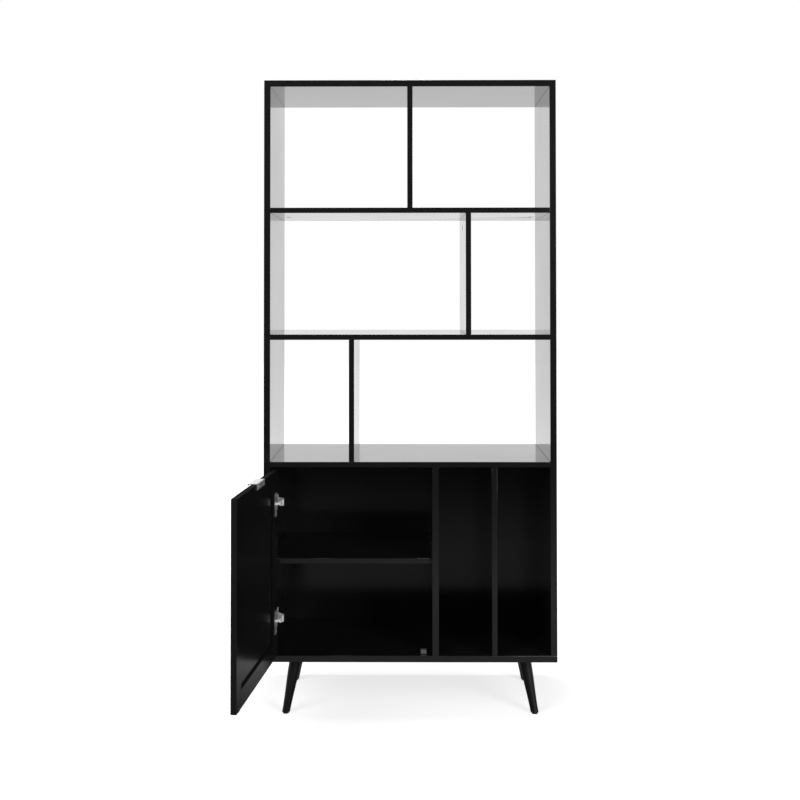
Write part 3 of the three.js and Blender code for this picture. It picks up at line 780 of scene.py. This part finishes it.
# The pull is a strip of brushed aluminium, bent over the door's top edge: a flange inside,
# which two screws hold, and a short lip outside that the finger draws on.
pull_middle = -0.184
pull_length = 0.08
pull_thickness = 0.0018
pull_bend = 0.0019  # radius at the middle of the strip's thickness
pull_path = ((0.0162, 0.6795), (0.0162, 0.6952), (-0.0091, 0.6952), (-0.0091, 0.6903))
pull_round = 0.0004
pull_face = pull_path[0][0] + pull_thickness / 2
pull_screw_level = 0.686
pull_screw_reach = 0.025
bend_steps = 8


def strip_outline(path, thickness, bend):
    """The closed outline of a bent strip: its middle line with round bends, offset both ways."""
    points = [Vector(p) for p in path]
    line = [(points[0], (points[1] - points[0]).normalized())]
    for before, corner, after in zip(points, points[1:], points[2:]):
        into, out = (corner - before).normalized(), (after - corner).normalized()
        sweep = into.angle_signed(out)
        start = corner - into * bend * math.tan(abs(sweep) / 2)
        side = Vector((-into.y, into.x)) * (1 if sweep < 0 else -1)
        centre = start + side * bend
        for i in range(bend_steps + 1):
            turn = Matrix.Rotation(-sweep * i / bend_steps, 2)
            line.append((centre + turn @ (start - centre), turn @ into))
    line.append((points[-1], (points[-1] - points[-2]).normalized()))
    outline = [p + Vector((-d.y, d.x)) * thickness / 2 for p, d in line]
    outline += [p - Vector((-d.y, d.x)) * thickness / 2 for p, d in reversed(line)]
    return outline


brushed_aluminium = metal(
    "brushed_aluminium", (0.76, 0.77, 0.78), 0.45, grain=(1, 30, 30), grain_scale=60.0,
    grain_depth=1e-5, turn=open_turn,
)
mesh = bpy.data.meshes.new("door_pull_bent")
bm = bmesh.new()
outline = strip_outline(pull_path, pull_thickness, pull_bend)
ring = [bm.verts.new((pull_middle - pull_length / 2, y, z)) for y, z in outline]
face = bm.faces.new(ring)
made = bmesh.ops.extrude_face_region(bm, geom=[face])
moved = [item for item in made["geom"] if isinstance(item, bmesh.types.BMVert)]
bmesh.ops.translate(bm, verts=moved, vec=(pull_length, 0, 0))
bmesh.ops.recalc_face_normals(bm, faces=bm.faces)
round_edges(bm, pull_round, segments=3, least_angle=50)
bm.transform(door_hang)
bm.to_mesh(mesh)
bm.free()
piece = finish_piece("door_pull_bent", mesh, brushed_aluminium, "door", "aluminium", "door_pull")
even_shading(piece)
pull_screw_places = []
for reach in (-pull_screw_reach, pull_screw_reach):
    spot = Vector((pull_middle + reach, pull_face, pull_screw_level))
    pull_screw_places.append((door_hang @ spot, door_inwards))
pull_screws = grow(
    "pull_screws", heads, pull_screw_places, Head_Radius=0.0032, Head_Height=0.0016,
    Squareness=2.8, Recess_Length=0.0038, Turn_Seed=8, Material=nickel,
)
finish_piece(
    "pull_screws", pull_screws, nickel, "door", "nickel_steel", "pull_screw_1", "pull_screw_2",
)


# The magnetic catch is a grey plastic housing on the cabinet floor. Two steel pole plates reach out
# of its front and hold the small steel plate that one countersunk screw fixes inside the door.
catch_round = 0.0011
catch_fit = 0.0003  # the housing fills the joint line under it
pole_proud = 0.0007
pole_depth = 0.0054
pole_thickness = 0.0013
pole_width = 0.0125
pole_spacing = 0.0052
pole_round = 0.0002
catch_screw_back = 0.001  # behind the middle of the housing
catch_screw_sink = 0.0003
strike_round = 0.0004
catch_plastic = moulded(
    "grey_plastic", (0.095, 0.095, 0.092), 0.48, pit_scale=1800.0, pit_depth=3e-5,
)
catch_low, catch_high = corners("magnetic_catch")
catch_middle = (catch_low + catch_high) / 2


def set_back_housing(bm):
    """The front goes back, so that the pole plates stand proud, and the foot goes down."""
    for v in bm.verts:
        if v.co.y < catch_middle.y:
            v.co.y += pole_proud
        if v.co.z < catch_middle.z:
            v.co.z -= catch_fit


rounded_copy(
    "magnetic_catch", "housing", catch_plastic, "carcass", "grey_plastic", catch_round, segments=3,
    reshape=set_back_housing,
)
mesh = bpy.data.meshes.new("catch_pole_plates")
bm = bmesh.new()
pole_size = Matrix.Diagonal((pole_width, pole_depth, pole_thickness, 1))
for side in (-1, 1):
    level = catch_middle.z + side * pole_spacing / 2
    centre = (catch_middle.x, catch_low.y + pole_depth / 2, level)
    bmesh.ops.create_cube(bm, size=1.0, matrix=Matrix.Translation(centre) @ pole_size)
round_edges(bm, pole_round)
bm.to_mesh(mesh)
bm.free()
even_shading(finish_piece("catch_pole_plates", mesh, nickel, "carcass", "nickel_steel"))
spot = (catch_middle.x, catch_middle.y + catch_screw_back, catch_high.z - catch_screw_sink)
catch_screws = grow(
    "catch_screw", heads, [(spot, (0, 0, 1))], Head_Radius=0.003, Head_Height=0.0007,
    Squareness=2.4, Recess_Length=0.0036, Turn_Seed=2, Material=zinc_plate,
)
finish_piece("catch_screw", catch_screws, zinc_plate, "carcass", "zinc")
plain_steel = metal("plain_steel", (0.26, 0.26, 0.265), 0.3, grain_scale=1000.0)
rounded_copy("catch_strike_plate", "punched", plain_steel, "door", "nickel_steel", strike_round)
strike_low, strike_high = corners("catch_strike_plate")
strike_screw = grow(
    "strike_screw", heads, [((strike_low + strike_high) / 2, door_inwards)], Head_Radius=0.0034,
    Head_Height=0.00075, Squareness=3.2, Recess_Length=0.004, Recess_Depth=0.0006, Turn_Seed=9,
    Material=plain_steel,
)
finish_piece("strike_screw", strike_screw, plain_steel, "door", "nickel_steel")


# Two concealed hinges. The cup with its flange is sunk into the stile and held by two screws; a
# tongue comes out of it. A forked link swings between the tongue and the pin of the arm.
hinge_levels = {"upper": 0.601, "lower": 0.277}
flange_centre_x = -0.3645
flange_face_y = 0.0165
flange_screw_reach = 0.024
# The cup's darker nickel is a painted shade on the cup and its flange.
hinge_painted_shade = metal("hinge_painted_shade_nickel", (0.44, 0.436, 0.425), 0.6, grain_scale=1100.0)
# The tongue, link and arm share one nickel, painted light: far lighter and barely metallic.
hinge_painted_light = metal(
    "hinge_painted_light_nickel", (0.93, 0.92, 0.90), 0.6, grain_scale=1100.0, metallic=0.12,
)
for name in hinge_levels:
    for part, ending, finish, body, width in (
        ("cup", "drawn", hinge_painted_shade, "door", 0.0003),
        ("tongue", "stamped", hinge_painted_light, "door", 0.0004),
        ("link", "stamped", hinge_painted_light, f"{name}_link", 0.0003),
    ):
        rounded_copy(f"{name}_hinge_{part}", ending, finish, body, "nickel_steel", width)
cup_screw_places = []
for level in hinge_levels.values():
    for reach in (-flange_screw_reach, flange_screw_reach):
        spot = Vector((flange_centre_x, flange_face_y, level + reach))
        cup_screw_places.append((door_hang @ spot, door_inwards))
cup_screws = grow(
    "hinge_cup_screws", heads, cup_screw_places, Head_Radius=0.0036, Head_Height=0.0021,
    Squareness=2.8, Recess_Length=0.0042, Turn_Seed=4, Material=nickel,
)
finish_piece("hinge_cup_screws", cup_screws, nickel, "door", "nickel_steel")


# The hinges' arms are pressed from thicker steel and slide over their mounting plates, which two
# screws each fix to the side panel. Two more screws in each arm set the door sideways and in depth.
arm_round = 0.0005
arm_face_out = 0.0135
arm_screws_y = (0.0555, 0.0775)
arm_screw_sink = 0.0002
mounting_round = 0.0004
mounting_foot_out = 0.0023
mounting_screws_y = 0.052
mounting_screw_reach = 0.018
side_low, side_high = corners("left_side_panel")
arm_screw_places = []
for name, level in hinge_levels.items():
    rounded_copy(f"{name}_hinge_arm", "pressed", hinge_painted_light, "carcass", "nickel_steel", arm_round)
    rounded_copy(f"{name}_hinge_plate", "cast", zinc_plate, "carcass", "zinc", mounting_round)
    spots = [
        (mounting_foot_out, mounting_screws_y, reach)
        for reach in (-mounting_screw_reach, mounting_screw_reach)
    ]
    spots += [(arm_face_out - arm_screw_sink, y, 0) for y in arm_screws_y]
    for out, back, up in spots:
        spot = (side_high.x + out, side_low.y + back, level + up)
        arm_screw_places.append((spot, (1, 0, 0)))
arm_screws = grow(
    "hinge_arm_screws", heads, arm_screw_places, Head_Radius=0.0035, Head_Height=0.0016,
    Squareness=3.4, Recess_Length=0.0044, Turn_Seed=6, Material=nickel,
)
finish_piece("hinge_arm_screws", arm_screws, nickel, "carcass", "nickel_steel")
